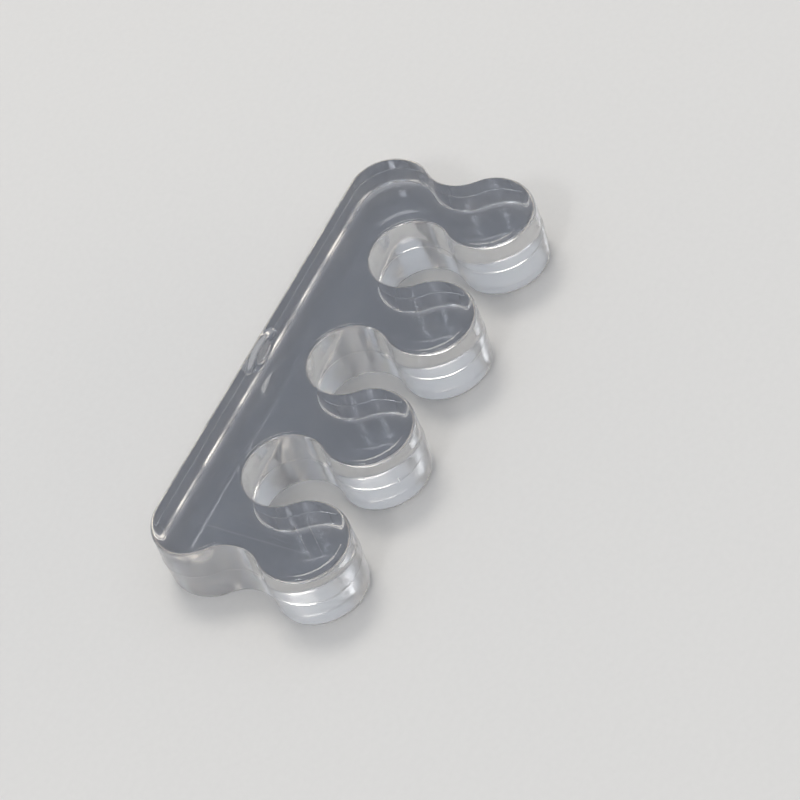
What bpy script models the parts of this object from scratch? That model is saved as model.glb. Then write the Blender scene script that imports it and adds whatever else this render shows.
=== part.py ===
# A gel toe separator, moulded in one piece from a clear and soft rubber.
#
# It is a thick plate that lies flat. One long side is straight and is called the spine
# here. Four round knobs stand along the other long side, and three round notches between
# them take the toes. Each short end has a shallow hollow between the last knob and the
# rounded corner of the spine.
#
# The row's frame: X runs along the spine, the spine faces +Y, the knobs point to -Y,
# and the plate lies with its bottom face on Z = 0.

import math

import bmesh
import bpy

for old in list(bpy.data.objects):
    bpy.data.objects.remove(old, do_unlink=True)

# Driving dimensions in metres

PITCH = 0.0230           # from one knob's centre to the next
KNOB_RADIUS = 0.0080
NOTCH_RADIUS = 0.0068
NOTCH_INSET = 0.0181     # from the spine's wall to the notch centres
CORNER_RADIUS = 0.0076
HOLLOW_RADIUS = 0.0068   # the shallow hollow in each short end
HOLLOW_OUT = 0.0110      # from the last knob's centre out to the hollow's centre, along X
THICKNESS = 0.0127
EDGE_RADIUS = 0.0013     # the rounding along the edges of the knobs, the corners and the spine
BAY_EDGE_RADIUS = 0.0006 # the tighter rounding in the notches and the end hollows
EDGE_BLEND = 0.4         # share of an arc in which one rounding runs into the next
DRAFT = math.radians(1.5)

SEAM_RISE = 0.00006      # the fine ridge where the two halves of the mould met
SEAM_HALF_WIDTH = 0.00016

GATE_LENGTH = 0.0104     # the pointed oval recess where the gel was fed in
GATE_WIDTH = 0.0074
GATE_DEPTH = 0.0009
GATE_SLOPE = 0.0007      # how far the recess narrows on its way down
STUB_LENGTH = 0.0052     # the cut stub left standing in the recess
STUB_WIDTH = 0.0050
STUB_BELOW_WALL = 0.0005
STUB_SLOPE = 0.0002
STUB_ROOT = 0.0004       # how deep the stub is sunk under the recess's floor

# How finely the curves are drawn

ARC_STEP = math.radians(11.0)
EDGE_STEPS = 4
OVAL_STEPS = 9

# Places that follow from the dimensions

reach = NOTCH_RADIUS + KNOB_RADIUS
knob_drop = math.sqrt(reach ** 2 - (PITCH / 2) ** 2)
depth = NOTCH_INSET + knob_drop + KNOB_RADIUS
spine_y = depth / 2
notch_y = spine_y - NOTCH_INSET
knob_y = notch_y - knob_drop
knob_x = [(i - 1.5) * PITCH for i in range(4)]
notch_x = [(i - 1.0) * PITCH for i in range(3)]

hollow_x = 1.5 * PITCH + HOLLOW_OUT
hollow_y = knob_y + math.sqrt((HOLLOW_RADIUS + KNOB_RADIUS) ** 2 - HOLLOW_OUT ** 2)
corner_y = spine_y - CORNER_RADIUS
corner_rise = corner_y - hollow_y
corner_x = hollow_x - math.sqrt((HOLLOW_RADIUS + CORNER_RADIUS) ** 2 - corner_rise ** 2)

# The directions in which each pair of neighbouring arcs touches

notch_turn = math.atan2(knob_drop, PITCH / 2)
to_end_knob = math.atan2(knob_y - hollow_y, HOLLOW_OUT)
to_corner = math.atan2(corner_rise, hollow_x - corner_x)


def ease(share):
    """A smooth step from 0 to 1."""
    share = min(max(share, 0.0), 1.0)
    return share * share * (3 - 2 * share)


def arc(cx, cy, radius, start, end, side, roundings):
    """Places along an arc, from its start up to but without its end.

    A place is a point of the outline, the direction out of the gel there, and the
    rounding of the edge there. The side is 1 where the gel bulges and -1 where it is
    hollow. The roundings are those at the arc's start, middle and end.
    """
    first, middle, last = roundings
    steps = max(2, math.ceil(abs(end - start) / ARC_STEP))
    places = []
    for i in range(steps):
        share = i / steps
        angle = start + (end - start) * share
        out_x = side * math.cos(angle)
        out_y = side * math.sin(angle)
        if share < 0.5:
            rounding = first + (middle - first) * ease(share / EDGE_BLEND)
        else:
            rounding = last + (middle - last) * ease((1 - share) / EDGE_BLEND)
        x = cx + radius * math.cos(angle)
        y = cy + radius * math.sin(angle)
        places.append((x, y, out_x, out_y, rounding))
    return places


def outline():
    """The outline at the seam as places, anticlockwise from above."""
    half = math.pi
    full = 2 * math.pi
    wide = EDGE_RADIUS
    tight = BAY_EDGE_RADIUS
    bay = (tight, tight, tight)
    bulge = (tight, wide, tight)
    places = []
    places += arc(-corner_x, corner_y, CORNER_RADIUS, half / 2, half + to_corner, 1,
                  (wide, wide, tight))
    places += arc(-hollow_x, hollow_y, HOLLOW_RADIUS, to_corner, to_end_knob, -1, bay)
    for i in range(4):
        start = half + to_end_knob if i == 0 else half - notch_turn
        end = full - to_end_knob if i == 3 else full + notch_turn
        places += arc(knob_x[i], knob_y, KNOB_RADIUS, start, end, 1, bulge)
        if i < 3:
            start = half + notch_turn
            places += arc(notch_x[i], notch_y, NOTCH_RADIUS, start, -notch_turn, -1, bay)
    places += arc(hollow_x, hollow_y, HOLLOW_RADIUS, half - to_end_knob, half - to_corner,
                  -1, bay)
    places += arc(corner_x, corner_y, CORNER_RADIUS, -to_corner, half / 2, 1,
                  (tight, wide, wide))
    places.append((corner_x, spine_y, 0.0, 1.0, wide))
    return places


def wall_row(number, rounding):
    """A row's height over the seam and its inset into the gel, for one rounding.

    Row 0 is the seam's crest and row 1 its foot. The rest climb the rounded edge, and
    the last lies on the top face.
    """
    if number == 0:
        return 0.0, -SEAM_RISE
    if number == 1:
        return SEAM_HALF_WIDTH, SEAM_HALF_WIDTH * math.tan(DRAFT)
    centre_up = THICKNESS / 2 - rounding
    centre_in = centre_up * math.tan(DRAFT) + rounding / math.cos(DRAFT)
    turn = DRAFT + (math.pi / 2 - DRAFT) * (number - 2) / EDGE_STEPS
    return centre_up + rounding * math.sin(turn), centre_in - rounding * math.cos(turn)


def plate_ring(places, number):
    """One ring round the plate. The rows under the seam have numbers below 0."""
    points = []
    for x, y, out_x, out_y, rounding in places:
        up, inset = wall_row(abs(number), rounding)
        z = THICKNESS / 2 + math.copysign(up, number)
        points.append((x - inset * out_x, y - inset * out_y, z))
    return points


def stack(name, rings, smooth):
    """A closed body from rings of points that all have the same number of corners."""
    shape = bmesh.new()
    rows = [[shape.verts.new(point) for point in ring] for ring in rings]
    count = len(rings[0])
    for low, high in zip(rows, rows[1:]):
        for i in range(count):
            k = (i + 1) % count
            side = shape.faces.new((low[i], low[k], high[k], high[i]))
            side.smooth = smooth
    shape.faces.new(list(reversed(rows[0])))
    shape.faces.new(rows[-1])
    bmesh.ops.recalc_face_normals(shape, faces=list(shape.faces))
    mesh = bpy.data.meshes.new(name)
    shape.to_mesh(mesh)
    shape.free()
    body = bpy.data.objects.new(name, mesh)
    bpy.context.scene.collection.objects.link(body)
    return body


def pointed_oval(length, width, y):
    """Two equal arcs that meet in a point at each end, on the spine's wall."""
    radius = (length ** 2 + width ** 2) / (4 * width)
    spread = math.asin(length / 2 / radius)
    points = []
    for side in (1, -1):
        for i in range(OVAL_STEPS):
            angle = spread - 2 * spread * i / OVAL_STEPS
            x = side * radius * math.sin(angle)
            z = side * (radius * math.cos(angle) - radius + width / 2)
            points.append((x, y, THICKNESS / 2 + z))
    return points


def round_oval(length, width, y):
    """A long oval with round ends, on the spine's wall."""
    points = []
    for i in range(2 * OVAL_STEPS):
        angle = math.pi * i / OVAL_STEPS
        x = length / 2 * math.cos(angle)
        z = width / 2 * math.sin(angle)
        points.append((x, y, THICKNESS / 2 + z))
    return points


# The plate with its knobs and notches, drawn from the bottom face to the top face

outline_places = outline()
last_row = EDGE_STEPS + 2
plate_rings = [plate_ring(outline_places, number) for number in range(-last_row, last_row + 1)]
separator = stack("toe_separator", plate_rings, True)
for face in separator.data.polygons:
    if abs(face.normal.z) > 0.999:
        face.use_smooth = False

# The recess at the middle of the spine's wall. Its tool starts clear of the wall, at the
# recess's full size, and narrows from the wall down to the recess's floor.

floor_y = spine_y - GATE_DEPTH
narrow_length = GATE_LENGTH - 2 * GATE_SLOPE
narrow_width = GATE_WIDTH - 2 * GATE_SLOPE
recess_rings = [
    pointed_oval(narrow_length, narrow_width, floor_y),
    pointed_oval(GATE_LENGTH, GATE_WIDTH, spine_y),
    pointed_oval(GATE_LENGTH, GATE_WIDTH, spine_y + 4 * SEAM_RISE),
]
recess_tool = stack("recess_tool", recess_rings, False)
recess_tool.hide_render = True
recess_tool.display_type = "WIRE"
cut = separator.modifiers.new("recess", "BOOLEAN")
cut.operation = "DIFFERENCE"
cut.solver = "EXACT"
cut.object = recess_tool

# The cut stub that is left standing on the recess's floor

stub_top_y = spine_y - STUB_BELOW_WALL
stub_rings = [
    round_oval(STUB_LENGTH, STUB_WIDTH, floor_y - STUB_ROOT),
    round_oval(STUB_LENGTH, STUB_WIDTH, floor_y),
    round_oval(STUB_LENGTH - 2 * STUB_SLOPE, STUB_WIDTH - 2 * STUB_SLOPE, stub_top_y),
]
stub_tool = stack("stub_tool", stub_rings, False)
stub_tool.hide_render = True
stub_tool.display_type = "WIRE"
join = separator.modifiers.new("stub", "BOOLEAN")
join.operation = "UNION"
join.solver = "EXACT"
join.object = stub_tool

# A clear gel with a faint cool grey cast

gel = bpy.data.materials.new("clear_gel")
gel.use_nodes = True
shader = gel.node_tree.nodes["Principled BSDF"]
shader.inputs["Base Color"].default_value = (0.62, 0.64, 0.69, 1.0)
shader.inputs["Roughness"].default_value = 0.12
shader.inputs["Metallic"].default_value = 0.0
shader.inputs["Transmission Weight"].default_value = 0.9
shader.inputs["IOR"].default_value = 1.45
separator.data.materials.append(gel)
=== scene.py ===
# %% [markdown]
# # A toe separator of clear gel
#
# The real object is one moulded piece of soft, clear gel: a thick plate with a straight
# spine, four round knobs, and three round notches between them that take the toes.
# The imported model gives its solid. This script gives it a finer surface, the marks that
# moulding and handling leave on it, and a material that bends light as the gel does.

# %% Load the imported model
import math

import bmesh
import bpy
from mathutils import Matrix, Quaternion, Vector, noise


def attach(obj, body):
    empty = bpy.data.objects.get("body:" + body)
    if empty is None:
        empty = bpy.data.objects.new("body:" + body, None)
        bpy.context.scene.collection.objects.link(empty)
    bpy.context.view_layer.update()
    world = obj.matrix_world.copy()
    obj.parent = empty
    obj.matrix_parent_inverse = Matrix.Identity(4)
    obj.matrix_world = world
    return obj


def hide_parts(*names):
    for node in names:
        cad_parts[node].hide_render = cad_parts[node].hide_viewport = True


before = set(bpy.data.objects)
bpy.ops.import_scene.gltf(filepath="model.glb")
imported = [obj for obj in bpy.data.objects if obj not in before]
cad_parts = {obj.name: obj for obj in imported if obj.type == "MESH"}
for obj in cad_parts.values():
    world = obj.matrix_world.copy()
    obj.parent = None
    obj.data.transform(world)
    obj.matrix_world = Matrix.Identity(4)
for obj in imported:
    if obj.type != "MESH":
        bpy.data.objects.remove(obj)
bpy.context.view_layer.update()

# %% [markdown]
# ## The camera
#
# The picture looks down on the plate from the side of the knobs, through a long lens, so
# that parallel edges stay nearly parallel. A camera can be moved by hand until it looks
# right. Here it is placed by numbers, which are easier to read and to change: the point it
# looks at, the direction it looks from, its distance, and its roll about the line of sight.

# %% Place the camera
AIM = Vector((-0.00138, -0.00891, 0.00635))
FROM_AZIMUTH = math.radians(-134.19)
FROM_ELEVATION = math.radians(48.39)
DISTANCE = 0.517
ROLL = math.radians(22.96)
FOCAL_LENGTH = 144.0
SENSOR_WIDTH = 36.0

backwards = Vector((
    math.cos(FROM_ELEVATION) * math.sin(FROM_AZIMUTH),
    math.cos(FROM_ELEVATION) * math.cos(FROM_AZIMUTH),
    math.sin(FROM_ELEVATION),
))
lens = bpy.data.cameras.new("camera")
lens.lens = FOCAL_LENGTH
lens.sensor_width = SENSOR_WIDTH
camera = bpy.data.objects.new("camera", lens)
camera.location = AIM + backwards * DISTANCE
upright = (-backwards).to_track_quat("-Z", "Y")
camera.rotation_mode = "QUATERNION"
camera.rotation_quaternion = Quaternion(-backwards, ROLL) @ upright
bpy.context.scene.collection.objects.link(camera)
bpy.context.scene.camera = camera
print("the camera stands", DISTANCE, "m from the point it looks at")

# %% [markdown]
# ## The outline as a row of arcs
#
# Seen from above, the outline is nothing but arcs that run smoothly into each other, and
# one straight line. It could be drawn by hand as a curve. Worked out from centres and
# radii it stays exact at any fineness. Each place on it also knows the direction out of
# the gel, how wide the edge is rounded there, and whether it lies in a bay. A bay is one
# of the notches or end hollows, where the edge is tight and the mould was left matt.

# %% The sizes of the plate, in metres
PITCH = 0.0230          # from knob to knob
KNOB_RADIUS = 0.0080
NOTCH_RADIUS = 0.0068
NOTCH_INSET = 0.0181    # from the spine's wall to the notch centres
CORNER_RADIUS = 0.0076
HOLLOW_RADIUS = 0.0068  # the shallow hollow in each short end
HOLLOW_OUT = 0.0110     # from the last knob's centre to the hollow's, along X
THICKNESS = 0.0127
MIDDLE = THICKNESS / 2

reach = NOTCH_RADIUS + KNOB_RADIUS
knob_drop = math.sqrt(reach ** 2 - (PITCH / 2) ** 2)
spine_y = (NOTCH_INSET + knob_drop + KNOB_RADIUS) / 2
notch_y = spine_y - NOTCH_INSET
knob_y = notch_y - knob_drop
knob_x = [(i - 1.5) * PITCH for i in range(4)]
notch_x = [(i - 1.0) * PITCH for i in range(3)]
hollow_x = 1.5 * PITCH + HOLLOW_OUT
hollow_y = knob_y + math.sqrt((HOLLOW_RADIUS + KNOB_RADIUS) ** 2 - HOLLOW_OUT ** 2)
corner_y = spine_y - CORNER_RADIUS
corner_x = hollow_x - math.sqrt(
    (HOLLOW_RADIUS + CORNER_RADIUS) ** 2 - (corner_y - hollow_y) ** 2)
notch_turn = math.atan2(knob_drop, PITCH / 2)
to_end_knob = math.atan2(knob_y - hollow_y, HOLLOW_OUT)
to_corner = math.atan2(corner_y - hollow_y, hollow_x - corner_x)
print("spine wall at y =", round(spine_y * 1000, 2), "mm, knob centres at y =",
      round(knob_y * 1000, 2), "mm")

# %% Places on an arc
EDGE_BLEND = 0.4        # share of an arc in which a bay runs into a bulge
ARC_STEP = math.radians(4.0)


def ease(share):
    """A smooth step from 0 to 1."""
    share = min(max(share, 0.0), 1.0)
    return share * share * (3 - 2 * share)


def arc(cx, cy, radius, start, end, side, bays):
    """Places from the arc's start up to its end: point, way out, and how much bay."""
    first, middle, last = bays
    steps = max(2, math.ceil(abs(end - start) / ARC_STEP))
    places = []
    for i in range(steps):
        share = i / steps
        angle = start + (end - start) * share
        across, along = math.cos(angle), math.sin(angle)
        if share < 0.5:
            bay = first + (middle - first) * ease(share / EDGE_BLEND)
        else:
            bay = last + (middle - last) * ease((1 - share) / EDGE_BLEND)
        places.append((cx + radius * across, cy + radius * along,
                       side * across, side * along, bay))
    return places


# %% The whole outline
SPINE_STEP = 0.0012
GATE_HALF = 0.0060      # half of the stretch with finer steps, where the gate is
GATE_STEP = 0.00014
BAY = (1.0, 1.0, 1.0)
BULGE = (1.0, 0.0, 1.0)
FROM_SPINE = (0.0, 0.0, 1.0)
TO_SPINE = (1.0, 0.0, 0.0)


def spine_places():
    """Places along the straight spine, close together where the gate is."""
    far = corner_x - GATE_HALF
    coarse = math.ceil(far / SPINE_STEP)
    fine = math.ceil(2 * GATE_HALF / GATE_STEP)
    right = [corner_x - far * i / coarse for i in range(coarse)]
    middle = [GATE_HALF - 2 * GATE_HALF * i / fine for i in range(fine + 1)]
    along = right + middle + [-x for x in reversed(right)][:-1]
    return [(x, spine_y, 0.0, 1.0, 0.0) for x in along]


def outline():
    """The outline at the seam, anticlockwise from above."""
    half, full = math.pi, 2 * math.pi
    places = spine_places()
    places += arc(-corner_x, corner_y, CORNER_RADIUS, half / 2, half + to_corner, 1,
                  FROM_SPINE)
    places += arc(-hollow_x, hollow_y, HOLLOW_RADIUS, to_corner, to_end_knob, -1, BAY)
    for i in range(4):
        start = half + to_end_knob if i == 0 else half - notch_turn
        end = full - to_end_knob if i == 3 else full + notch_turn
        places += arc(knob_x[i], knob_y, KNOB_RADIUS, start, end, 1, BULGE)
        if i < 3:
            start = half + notch_turn
            places += arc(notch_x[i], notch_y, NOTCH_RADIUS, start, -notch_turn, -1, BAY)
    places += arc(hollow_x, hollow_y, HOLLOW_RADIUS, half - to_end_knob, half - to_corner,
                  -1, BAY)
    places += arc(corner_x, corner_y, CORNER_RADIUS, -to_corner, half / 2, 1, TO_SPINE)
    return places


outline_places = outline()
print("places round the outline:", len(outline_places))

# %% [markdown]
# ## The wall from the bottom face to the top face
#
# The mould opened at half the plate's thickness. So both halves of the wall slope a little
# towards that line, a fine ridge stands where the halves met, and the edges at the two
# faces are rounded. A bevel modifier could round the edges, but it gives one radius all
# round. Worked out row by row, the rounding can change along the edge, and the rows are
# dense exactly where the ridge and the gate need them.

# %% Rows of the wall
EDGE_RADIUS = 0.0013
BAY_EDGE_RADIUS = 0.0006
EDGE_STEPS = 9
DRAFT = math.radians(1.5)
SEAM_RISE = 0.00004
SEAM_HALF_WIDTH = 0.00016
SEAM_ROWS = 3
GATE_HALF_HEIGHT = 0.0040
GATE_ROWS = 26
WALL_ROWS = 3
LIP = 0.0004            # the last row lies this far in on the face
LAST_ROW = SEAM_ROWS + GATE_ROWS + WALL_ROWS + EDGE_STEPS + 2
TINY = 1e-9


def ridge(up):
    """How far the seam's ridge stands out of the wall, at a height over the seam."""
    share = min(abs(up) / SEAM_HALF_WIDTH, 1.0)
    return SEAM_RISE * (0.5 + 0.5 * math.cos(math.pi * share))


def wall_row(number, rounding):
    """A row's height over the seam, its inset, and how upright the surface is there."""
    wall_end = MIDDLE - rounding + rounding * math.sin(DRAFT)
    if number <= SEAM_ROWS:
        up = SEAM_HALF_WIDTH * number / SEAM_ROWS
    elif number <= SEAM_ROWS + GATE_ROWS:
        share = (number - SEAM_ROWS) / GATE_ROWS
        up = SEAM_HALF_WIDTH + (GATE_HALF_HEIGHT - SEAM_HALF_WIDTH) * share
    else:
        share = (number - SEAM_ROWS - GATE_ROWS) / (WALL_ROWS + 1)
        up = GATE_HALF_HEIGHT + (wall_end - GATE_HALF_HEIGHT) * share
    if up < wall_end - TINY:
        return up, up * math.tan(DRAFT), 1.0
    step = min(number - SEAM_ROWS - GATE_ROWS - WALL_ROWS - 1, EDGE_STEPS)
    turn = DRAFT + (math.pi / 2 - DRAFT) * step / EDGE_STEPS
    centre_in = (MIDDLE - rounding) * math.tan(DRAFT) + rounding / math.cos(DRAFT)
    inset = centre_in - rounding * math.cos(turn)
    if number == LAST_ROW:
        inset += LIP
    return MIDDLE - rounding + rounding * math.sin(turn), inset, math.cos(turn)


print("rows from face to face:", 2 * LAST_ROW + 1)

# %% [markdown]
# ## The gate
#
# The gel was fed into the mould at the middle of the spine. What is left of it is a pointed
# oval recess with a round, torn stub in it. It could be cut with a Boolean, which leaves
# long thin faces that show in a clear material. The rows are dense there instead, and each
# point of the wall is pushed in by a depth that is worked out from its place. A small pit
# near one tip and a rough patch near the other are marks of the cut.

# %% How deep the wall is pushed in at the gate
GATE_LENGTH = 0.0104
GATE_WIDTH = 0.0074
GATE_DEPTH = 0.0009
GATE_SLOPE = 0.0007     # how wide the recess's sloping rim is
STUB_LENGTH = 0.0052
STUB_WIDTH = 0.0050
STUB_BELOW_WALL = 0.0005
STUB_SLOPE = 0.00035
TEAR_SIZE = 1100.0      # bumps of the torn gel to the metre
TEAR_DEPTH = 0.00009
PIT_AT = (-0.0039, -0.0006)
PIT_RADIUS = 0.0008
PIT_DEPTH = 0.00035
PATCH_AT = (0.0037, 0.0006)
PATCH_RADIUS = 0.0013
SAMPLE_STEP = 0.0001    # for measuring the depth that came out

oval_radius = (GATE_LENGTH ** 2 + GATE_WIDTH ** 2) / (4 * GATE_WIDTH)
oval_centre = oval_radius - GATE_WIDTH / 2


def near(x, up, middle, radius):
    """1 at the middle of a round spot, and 0 from its radius on."""
    return ease(1.0 - math.hypot(x - middle[0], up - middle[1]) / radius)


def gate_shape(x, up):
    """How far the wall is pushed in, how torn it is, and how far inside the recess."""
    inside = oval_radius - math.hypot(x, abs(up) + oval_centre)
    if inside <= 0.0:
        return 0.0, 0.0, 0.0
    floor = ease(inside / GATE_SLOPE)
    off_centre = math.hypot(2 * x / STUB_LENGTH, 2 * up / STUB_WIDTH)
    stub = ease((1 - off_centre) * STUB_WIDTH / 2 / STUB_SLOPE)
    patch = near(x, up, PATCH_AT, PATCH_RADIUS)
    torn = max(stub, patch)
    tear = noise.noise(Vector((x, 0.0, up)) * TEAR_SIZE) * TEAR_DEPTH * torn
    depth = GATE_DEPTH * floor - stub * (GATE_DEPTH - STUB_BELOW_WALL) + tear * floor
    depth += PIT_DEPTH * near(x, up, PIT_AT, PIT_RADIUS)
    return depth, torn * floor, floor


deepest = max(gate_shape(i * SAMPLE_STEP, j * SAMPLE_STEP)[0]
              for i in range(-52, 53) for j in range(37))
print("the recess is", round(deepest * 1000, 2), "mm deep at most")

# %% [markdown]
# ## One closed body
#
# The rings are stacked and joined with four-sided faces, and the two faces of the plate
# close the stack. Three numbers are kept at every point for the material to read: how
# much the point belongs to the wall, how much to a bay, and how torn the gel is there.
# Painting masks by hand would do as well, but these follow any change of the sizes.

# %% Stack the rings
def ring(number):
    """One ring of points round the plate, each with its three numbers."""
    points, numbers = [], []
    for x, y, out_x, out_y, bay in outline_places:
        rounding = EDGE_RADIUS + (BAY_EDGE_RADIUS - EDGE_RADIUS) * bay
        up, inset, wall = wall_row(abs(number), rounding)
        up = math.copysign(up, number)
        depth, torn, floor = 0.0, 0.0, 0.0
        if abs(x) < GATE_HALF and y == spine_y:
            depth, torn, floor = gate_shape(x, up)
        inset += depth - ridge(up) * (1 - floor)
        points.append((x - inset * out_x, y - inset * out_y, MIDDLE + up))
        numbers.append((wall, bay, torn))
    return points, numbers


shape = bmesh.new()
rows, point_numbers = [], []
for number in range(-LAST_ROW, LAST_ROW + 1):
    points, numbers = ring(number)
    rows.append([shape.verts.new(p) for p in points])
    point_numbers += numbers
count = len(rows[0])
for below, above in zip(rows, rows[1:]):
    for i in range(count):
        k = (i + 1) % count
        shape.faces.new((below[i], below[k], above[k], above[i]))
shape.faces.new(list(reversed(rows[0])))
shape.faces.new(rows[-1])
for face in shape.faces:
    face.smooth = True
body_mesh = bpy.data.meshes.new("gel_body")
shape.to_mesh(body_mesh)
shape.free()
for name, values in zip(("wall", "bay", "torn"), zip(*point_numbers)):
    body_mesh.attributes.new(name, "FLOAT", "POINT").data.foreach_set("value", values)

# %% Put the body in the scene
body = bpy.data.objects.new("gel_body", body_mesh)
bpy.context.scene.collection.objects.link(body)
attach(body, "root")
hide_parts("toe_separator")
print("the gel body has", len(body_mesh.polygons), "faces")

# %% [markdown]
# ## Effects that more than one finish uses
#
# Two effects come back again and again, so each is a node group with named sockets. The
# first is noise that is stretched along a direction: it makes the tool's streaks on the
# walls, the lines on the spine, the clouds in the faces and the grain of the floor. The
# second is one straight scratch between two points, used once for every scratch and
# mark. An image could hold them, but a formula stays sharp at any distance and needs no
# unwrapping.

# %% Helpers for node trees
def add(tree, kind, **settings):
    """A new node with its properties set."""
    node = tree.nodes.new("ShaderNode" + kind)
    for name, value in settings.items():
        setattr(node, name, value)
    return node


def feed(tree, socket, value):
    """Link an output into a socket, or set a plain value on it."""
    if isinstance(value, bpy.types.NodeSocket):
        tree.links.new(value, socket)
    else:
        socket.default_value = value


def calc(tree, operation, *values, clamp=False):
    """A Math node with its inputs filled."""
    node = add(tree, "Math", operation=operation, use_clamp=clamp)
    for socket, value in zip(node.inputs, values):
        feed(tree, socket, value)
    return node.outputs[0]


def vector_calc(tree, operation, *values):
    """A Vector Math node with its inputs filled."""
    node = add(tree, "VectorMath", operation=operation)
    for socket, value in zip(node.inputs, values):
        feed(tree, socket, value)
    scalar = operation in {"LENGTH", "DOT_PRODUCT", "DISTANCE"}
    return node.outputs["Value" if scalar else "Vector"]


def spread(tree, value, low, high, to_low, to_high, smooth=False):
    """A Map Range node: low to high becomes to_low to to_high."""
    node = add(tree, "MapRange", clamp=True)
    node.interpolation_type = "SMOOTHSTEP" if smooth else "LINEAR"
    for name, given in (("Value", value), ("From Min", low), ("From Max", high),
                        ("To Min", to_low), ("To Max", to_high)):
        feed(tree, node.inputs[name], given)
    return node.outputs[0]


def mix_colour(tree, share, first, second):
    """A blend of two colours."""
    node = add(tree, "Mix", data_type="RGBA")
    feed(tree, node.inputs[0], share)
    feed(tree, node.inputs[6], first)
    feed(tree, node.inputs[7], second)
    return node.outputs[2]


def new_group(name, inputs, outputs):
    """An empty node group with its sockets, and its two end nodes."""
    group = bpy.data.node_groups.new(name, "ShaderNodeTree")
    for socket_name, kind, value in inputs:
        socket = group.interface.new_socket(socket_name, in_out="INPUT", socket_type=kind)
        socket.default_value = value
    for socket_name, kind in outputs:
        group.interface.new_socket(socket_name, in_out="OUTPUT", socket_type=kind)
    return group, group.nodes.new("NodeGroupInput"), group.nodes.new("NodeGroupOutput")


def use_group(tree, group, **values):
    """A group placed in a material, its inputs filled by name."""
    node = add(tree, "Group", node_tree=group)
    for name, value in values.items():
        feed(tree, node.inputs[name.capitalize()], value)
    return node.outputs[0]


# %% The stretched noise
NOISE_DETAIL = 3.0
NOISE_MIDDLE = 0.5

drawn_noise, came_in, goes_out = new_group(
    "drawn_noise",
    [("Place", "NodeSocketVector", (0, 0, 0)), ("Fineness", "NodeSocketVector", (1, 1, 1)),
     ("Contrast", "NodeSocketFloat", 1.0)],
    [("Value", "NodeSocketFloat")])
stretched = vector_calc(drawn_noise, "MULTIPLY", came_in.outputs["Place"],
                        came_in.outputs["Fineness"])
cloud = add(drawn_noise, "TexNoise")
cloud.inputs["Scale"].default_value = 1.0
cloud.inputs["Detail"].default_value = NOISE_DETAIL
drawn_noise.links.new(stretched, cloud.inputs["Vector"])
centred = calc(drawn_noise, "SUBTRACT", cloud.outputs[0], NOISE_MIDDLE)
drawn_noise.links.new(calc(drawn_noise, "MULTIPLY", centred, came_in.outputs["Contrast"]),
                      goes_out.inputs["Value"])
print("drawn_noise swings about 0, by about 0.25 times its contrast")

# %% The scratch
FADE_POWER = 0.5        # the lower, the longer a scratch keeps its full strength

scratch, came_in, goes_out = new_group(
    "scratch",
    [("Place", "NodeSocketVector", (0, 0, 0)), ("Start", "NodeSocketVector", (0, 0, 0)),
     ("End", "NodeSocketVector", (1, 0, 0)), ("Width", "NodeSocketFloat", 0.0001),
     ("Strength", "NodeSocketFloat", 1.0)],
    [("Mask", "NodeSocketFloat")])
run = vector_calc(scratch, "SUBTRACT", came_in.outputs["End"], came_in.outputs["Start"])
reached = vector_calc(scratch, "SUBTRACT", came_in.outputs["Place"],
                      came_in.outputs["Start"])
share = calc(scratch, "DIVIDE", vector_calc(scratch, "DOT_PRODUCT", reached, run),
             vector_calc(scratch, "DOT_PRODUCT", run, run), clamp=True)
scaled = add(scratch, "VectorMath", operation="SCALE")
scratch.links.new(run, scaled.inputs[0])
scratch.links.new(share, scaled.inputs["Scale"])
away = vector_calc(scratch, "DISTANCE", reached, scaled.outputs["Vector"])
fading = calc(scratch, "SINE", calc(scratch, "MULTIPLY", share, math.pi))
strength = calc(scratch, "MULTIPLY", calc(scratch, "POWER", fading, FADE_POWER),
                came_in.outputs["Strength"])
line = spread(scratch, away, 0.0, came_in.outputs["Width"], 1.0, 0.0, smooth=True)
scratch.links.new(calc(scratch, "MULTIPLY", line, strength), goes_out.inputs["Mask"])
print("scratch fades out towards both its ends")

# %% [markdown]
# ## The gel
#
# Clear gel is a refracting material with a faint cool tint. The faces came off polished
# steel, so they are clear, with a few scratches, and their colour is painted darker: a
# painted shade. The walls came off a milled mould, so they are rougher, streaked in the
# bays and lined along the spine, and their colour is painted lighter: a painted light. One
# Principled shader does all of it: its colour, roughness and normal change over the
# surface, while its transmission stays plain. A plain absorbing volume tints the light by
# the way that it travels in the gel, which no surface colour can do.

# %% Masks and noises for the gel
WALL_STARTS = 0.72      # how upright the edge is where the wall's finish starts
WALL_FULL = 0.99
SPINE_STARTS = 0.0014   # how far inside the spine's wall its own finish starts
SPINE_FULL = 0.0008
STREAKS = (1500, 1500, 14)
WIDE_STREAKS = (420, 420, 9)
SPINE_LINES = (38, 1, 1700)
CLOUDS = (170, 170, 170)
GRAIN = (1900, 1900, 1900)

gel = bpy.data.materials.new("clear_gel")
gel.use_nodes = True
tree = gel.node_tree
shader = tree.nodes["Principled BSDF"]
place = add(tree, "TexCoord").outputs["Object"]
wall = add(tree, "Attribute", attribute_name="wall").outputs["Fac"]
bay = add(tree, "Attribute", attribute_name="bay").outputs["Fac"]
torn = add(tree, "Attribute", attribute_name="torn").outputs["Fac"]
axes = add(tree, "SeparateXYZ")
tree.links.new(place, axes.inputs[0])

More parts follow.
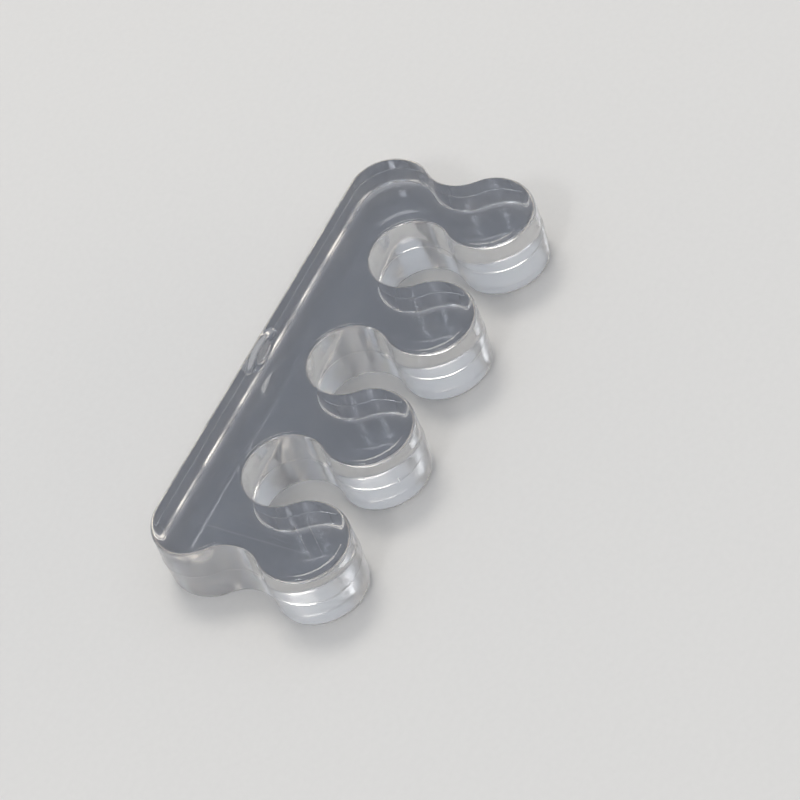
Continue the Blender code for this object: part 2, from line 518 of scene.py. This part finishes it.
on_wall = spread(tree, wall, WALL_STARTS, WALL_FULL, 0.0, 1.0, smooth=True)
near_spine = spread(tree, axes.outputs["Y"], spine_y - SPINE_STARTS, spine_y - SPINE_FULL,
                    0.0, 1.0)
on_spine = calc(tree, "MULTIPLY", on_wall, near_spine)
in_bay = calc(tree, "MULTIPLY", on_wall, bay)
streaks = use_group(tree, drawn_noise, place=place, fineness=STREAKS)
wide_streaks = use_group(tree, drawn_noise, place=place, fineness=WIDE_STREAKS)
lines = use_group(tree, drawn_noise, place=place, fineness=SPINE_LINES)
clouds = use_group(tree, drawn_noise, place=place, fineness=CLOUDS)
grain = use_group(tree, drawn_noise, place=place, fineness=GRAIN)
print("noises for the gel: streaks, wide streaks, lines, clouds and grain")

# %% The scratches on the top face and the marks on the knob walls
TOP = THICKNESS
SCRATCH_PATCHY = 1.6    # how much the grain breaks a scratch up
SCRATCH_MEAN = 0.75
SCRATCHES = [           # start, end, width and strength
    ((-0.0299, -0.0044, TOP), (-0.0380, -0.0138, TOP), 0.00015, 0.7),
    ((-0.0296, -0.0073, TOP), (-0.0371, -0.0155, TOP), 0.00015, 0.7),
    ((-0.0361, 0.0112, TOP), (-0.0369, -0.0161, TOP), 0.00026, 0.45),
    ((-0.0352, -0.0040, TOP), (-0.0358, -0.0078, TOP), 0.00018, 0.5),
    ((-0.0342, 0.0020, TOP), (-0.0349, -0.0085, TOP), 0.00018, 0.3),
    ((0.00668, -0.01561, 0.0122), (0.00644, -0.01591, 0.0054), 0.00014, 1.0),
    ((-0.0162, -0.0162, 0.0073), (-0.0162, -0.0162, 0.0058), 0.00018, 1.0),
    ((0.0271, -0.0131, 0.0101), (0.0288, -0.0153, 0.0099), 0.00016, 0.6),
]

scratched = 0.0
for start, end, width, strength in SCRATCHES:
    mask = use_group(tree, scratch, place=place, start=start, end=end, width=width,
                     strength=strength)
    scratched = calc(tree, "MAXIMUM", scratched, mask)
patchy = calc(tree, "ADD", SCRATCH_MEAN, calc(tree, "MULTIPLY", grain, SCRATCH_PATCHY))
scratched = calc(tree, "MULTIPLY", scratched, patchy, clamp=True)
print("scratches and marks:", len(SCRATCHES))

# %% Roughness of the gel
FACE_ROUGHNESS = 0.04
BULGE_ROUGHNESS = 0.06
SPINE_ROUGHNESS = 0.15
BAY_ROUGHNESS = 0.21
TORN_ROUGHNESS = 0.55
SCRATCH_ROUGHNESS = 0.5
CLOUD_SWING = 0.10
STREAK_SWING = 0.08

face_rough = calc(tree, "ADD", FACE_ROUGHNESS, calc(tree, "MULTIPLY", clouds, CLOUD_SWING),
                  clamp=True)
wall_rough = calc(tree, "ADD", BULGE_ROUGHNESS,
                  calc(tree, "MULTIPLY", in_bay, BAY_ROUGHNESS - BULGE_ROUGHNESS))
wall_rough = calc(tree, "ADD", wall_rough,
                  calc(tree, "MULTIPLY", on_spine, SPINE_ROUGHNESS - BULGE_ROUGHNESS))
wall_rough = calc(tree, "ADD", wall_rough,
                  calc(tree, "MULTIPLY", wide_streaks, STREAK_SWING))
rough_mix = add(tree, "Mix", data_type="FLOAT")
feed(tree, rough_mix.inputs["Factor"], on_wall)
feed(tree, rough_mix.inputs["A"], face_rough)
feed(tree, rough_mix.inputs["B"], wall_rough)
rough = calc(tree, "MAXIMUM", rough_mix.outputs[0],
             calc(tree, "MULTIPLY", torn, TORN_ROUGHNESS))
rough = calc(tree, "MAXIMUM", rough, calc(tree, "MULTIPLY", scratched, SCRATCH_ROUGHNESS))
tree.links.new(rough, shader.inputs["Roughness"])
print("roughness runs from", FACE_ROUGHNESS, "on the faces to", TORN_ROUGHNESS,
      "on the torn stub")

# %% Colour of the gel
# painted shade: the faces are coloured darker than the walls, as shade, and the cloud
# colour blotches that painted shade at random
FACE_PAINTED_SHADE = (0.50, 0.525, 0.58, 1)
CLOUD_TINT = (0.56, 0.58, 0.62, 1)
# painted light: the walls are coloured lighter than the faces, as light
WALL_PAINTED_LIGHT = (0.775, 0.785, 0.80, 1)
TORN_TINT = (0.90, 0.91, 0.93, 1)
CLOUD_TOP = 0.22
SCRATCH_TINT_SHARE = 0.8

cloudy = spread(tree, clouds, 0.0, CLOUD_TOP, 0.0, 1.0, smooth=True)
tint = mix_colour(tree, cloudy, FACE_PAINTED_SHADE, CLOUD_TINT)
# painted light on the walls, laid over the painted shade of the faces
tint = mix_colour(tree, on_wall, tint, WALL_PAINTED_LIGHT)
tint = mix_colour(tree, torn, tint, TORN_TINT)
tint = mix_colour(tree, calc(tree, "MULTIPLY", scratched, SCRATCH_TINT_SHARE), tint,
                  TORN_TINT)
tree.links.new(tint, shader.inputs["Base Color"])
print("tints, from dark to light: face, cloud, wall, torn")

# %% Relief of the gel
STREAK_HEIGHT = 0.000011
WIDE_STREAK_HEIGHT = 0.000014
LINE_HEIGHT = 0.000008
GRAIN_HEIGHT = 0.000001
CLOUD_HEIGHT = 0.000008
SCRATCH_DEPTH = 0.000012

patterns = [
    (calc(tree, "MULTIPLY", streaks, in_bay), STREAK_HEIGHT),
    (calc(tree, "MULTIPLY", wide_streaks, in_bay), WIDE_STREAK_HEIGHT),
    (calc(tree, "MULTIPLY", lines, on_spine), LINE_HEIGHT),
    (calc(tree, "MULTIPLY", grain, calc(tree, "MAXIMUM", torn, in_bay)), GRAIN_HEIGHT),
    (clouds, CLOUD_HEIGHT),
    (scratched, -SCRATCH_DEPTH),
]
relief = 0.0
for pattern, height in patterns:
    relief = calc(tree, "ADD", relief, calc(tree, "MULTIPLY", pattern, height))
bump = add(tree, "Bump")
bump.inputs["Strength"].default_value = 1.0
bump.inputs["Distance"].default_value = 1.0
tree.links.new(relief, bump.inputs["Height"])
tree.links.new(bump.outputs["Normal"], shader.inputs["Normal"])
print("patterns in the relief:", len(patterns))

# %% Light through the gel
GEL_IOR = 1.46
GEL_TRANSMISSION = 0.92
SOAK_COLOUR = (0.80, 0.815, 0.85, 1)
SOAK_DENSITY = 18.0

shader.inputs["IOR"].default_value = GEL_IOR
shader.inputs["Transmission Weight"].default_value = GEL_TRANSMISSION
soak = add(tree, "VolumeAbsorption")
soak.inputs["Color"].default_value = SOAK_COLOUR
soak.inputs["Density"].default_value = SOAK_DENSITY
tree.links.new(soak.outputs["Volume"], tree.nodes["Material Output"].inputs["Volume"])
body_mesh.materials.append(gel)
print("the gel's tree has", len(tree.nodes), "nodes")

# %% [markdown]
# ## The floor
#
# A plain pale floor, painted matt. It lies a hair under the plate, because the plate rests
# on it as gel does, with a film of air between. Its paint has a faint grain, made with the
# same noise group as the gel's streaks, so that it doesn't look like an empty page.

# %% The floor and its paint
FLOOR_HALF = 3.0
FLOOR_GAP = 0.0002
FLOOR_DARK = (0.685, 0.688, 0.695, 1)
FLOOR_LIGHT = (0.705, 0.708, 0.715, 1)
FLOOR_ROUGHNESS = 0.9
FLOOR_GRAIN = (900, 900, 900)
FLOOR_GRAIN_SWING = 0.3

floor_mesh = bpy.data.meshes.new("floor")
floor_mesh.from_pydata([(-FLOOR_HALF, -FLOOR_HALF, 0), (FLOOR_HALF, -FLOOR_HALF, 0),
                        (FLOOR_HALF, FLOOR_HALF, 0), (-FLOOR_HALF, FLOOR_HALF, 0)],
                       [], [(0, 1, 2, 3)])
floor = bpy.data.objects.new("floor", floor_mesh)
floor.location.z = -FLOOR_GAP
bpy.context.scene.collection.objects.link(floor)
paint = bpy.data.materials.new("floor_paint")
paint.use_nodes = True
floor_tree = paint.node_tree
floor_shader = floor_tree.nodes["Principled BSDF"]
floor_place = add(floor_tree, "TexCoord").outputs["Object"]
speck = use_group(floor_tree, drawn_noise, place=floor_place, fineness=FLOOR_GRAIN)
grainy = spread(floor_tree, speck, -FLOOR_GRAIN_SWING, FLOOR_GRAIN_SWING, 0.0, 1.0)
floor_colour = mix_colour(floor_tree, grainy, FLOOR_DARK, FLOOR_LIGHT)
floor_tree.links.new(floor_colour, floor_shader.inputs["Base Color"])
floor_shader.inputs["Roughness"].default_value = FLOOR_ROUGHNESS
floor_mesh.materials.append(paint)
print("the floor is", 2 * FLOOR_HALF, "m across")

# %% [markdown]
# ## Soft light
#
# A clear thing is drawn by what it reflects and bends into view. The surround is pale
# overhead and dimmer half-way up, so that the walls stand out from the floor, and it has a
# bright, warm belt just over the horizon. A warm softbox high up behind the plate draws
# the double lines on the rims and in the knobs, where the gel bends it towards the eye. A
# small one at the side adds fine glints, and a long low one draws the line under the spine.

# %% The surround
SURROUND = [            # the sine of the height over the horizon, and the colour there
    (0.06, (5.8, 5.0, 3.9, 1)),
    (0.20, (0.88, 0.85, 0.81, 1)),
    (0.42, (0.325, 0.34, 0.36, 1)),
    (0.58, (0.325, 0.34, 0.36, 1)),
    (0.72, (0.65, 0.68, 0.72, 1)),
]

world = bpy.data.worlds.new("studio")
bpy.context.scene.world = world
world.use_nodes = True
sky = world.node_tree
background = sky.nodes["Background"]
height = add(sky, "SeparateXYZ")
sky.links.new(add(sky, "TexCoord").outputs["Generated"], height.inputs[0])
belt = add(sky, "ValToRGB")
while len(belt.color_ramp.elements) < len(SURROUND):
    belt.color_ramp.elements.new(1.0)
for stop, (position, colour) in zip(belt.color_ramp.elements, SURROUND):
    stop.position = position
    stop.color = colour
sky.links.new(height.outputs["Z"], belt.inputs["Fac"])
sky.links.new(belt.outputs["Color"], background.inputs["Color"])
print("the surround has", len(belt.color_ramp.elements), "bands")

# %% The softboxes
def softbox(name, direction, distance, size, radiance, colour):
    """A lamp of a given radiance that faces the plate."""
    lamp = bpy.data.lights.new(name, "AREA")
    lamp.shape = "RECTANGLE"
    lamp.size, lamp.size_y = size
    lamp.energy = radiance * math.pi * size[0] * size[1]
    lamp.color = colour
    holder = bpy.data.objects.new(name, lamp)
    holder.location = Vector(direction).normalized() * distance
    holder.rotation_euler = (-holder.location).to_track_quat("-Z", "Y").to_euler()
    bpy.context.scene.collection.objects.link(holder)
    print(name, "gives", round(lamp.energy, 1), "W")


softbox("side", (-0.65, -0.05, 0.76), 1.4, (0.22, 0.22), 15.0, (1.0, 0.99, 0.97))
softbox("back", (0.27, 0.26, 0.95), 1.3, (0.44, 0.38), 9.0, (1.0, 0.94, 0.84))
softbox("low_strip", (0.45, -0.87, 0.20), 2.5, (2.6, 0.36), 2.8, (1.0, 0.88, 0.70))

# %% Show colours as they are
bpy.context.scene.view_settings.view_transform = "Standard"
print("view transform:", bpy.context.scene.view_settings.view_transform)

# %% [markdown]
# ## Long ways through the gel
#
# Light that enters a wall of the plate is thrown back and forth between its two faces, and
# may meet many surfaces before it leaves. Cycles stops at twelve and paints the rest
# black, so the far walls would look smoked. Brighter lamps would only hide that. Letting
# the light go on for longer mends it, and takes hardly any more time.

# %% Let the light go on for longer
LIGHT_BOUNCES = 40

cycles = bpy.context.scene.cycles
cycles.max_bounces = LIGHT_BOUNCES
cycles.transmission_bounces = LIGHT_BOUNCES
cycles.glossy_bounces = LIGHT_BOUNCES
print("light may bounce", cycles.max_bounces, "times")
